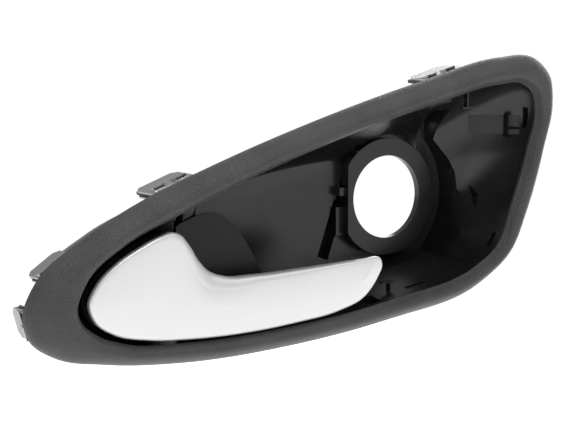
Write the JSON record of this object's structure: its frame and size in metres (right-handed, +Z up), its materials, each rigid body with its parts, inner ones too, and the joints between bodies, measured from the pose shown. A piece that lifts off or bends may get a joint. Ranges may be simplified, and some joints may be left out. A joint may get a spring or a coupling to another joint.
{
  "type": "car interior door handle",
  "caption": "Inner door handle module: grained oval surround, black bowl with finger cup and round switch seat, silver see-saw pull lever on a sprung hinge.",
  "frame": {"origin": "centre of the switch bore on the front face of its seat", "axes": "+X along the handle towards its broad end, +Y into the door, +Z up"},
  "size_m": [0.229, 0.0542, 0.103],
  "materials": {
    "grained_plastic": "dark grey moulded plastic with a fine grain",
    "smooth_plastic": "black moulded plastic, smooth, half matt",
    "silver_lacquer": "satin silver lacquer on plastic",
    "core_plastic": "black glass-filled plastic",
    "pin_steel": "ground steel",
    "spring_steel": "spring wire",
    "buffer_rubber": "black rubber",
    "clip_steel": "zinc coated spring steel"
  },
  "bodies": {
    "housing": {"surround": "grained_plastic", "bowl": "smooth_plastic", "pivot_pin": "pin_steel", "return_spring": "spring_steel", "rest_buffer": "buffer_rubber", "clip_crown_left": "clip_steel", "clip_crown_right": "clip_steel", "clip_shoulder": "clip_steel", "clip_tip": "clip_steel", "clip_sill_left": "clip_steel", "clip_sill_right": "clip_steel", "clip_heel": "clip_steel"},
    "lever": {"lever_grip": "silver_lacquer", "lever_core": "core_plastic"}
  },
  "joints": [
    {"name": "lever_pull", "type": "hinge", "parent": "housing", "child": "lever", "pos_m": [-0.1, -0.0144, -0.0175], "axis": [0, 0, -1], "range_deg": [0, 24], "stiffness_Nm_per_rad": 0.3, "springref_deg": -20.05, "deforming": ["return_spring"]}
  ]
}
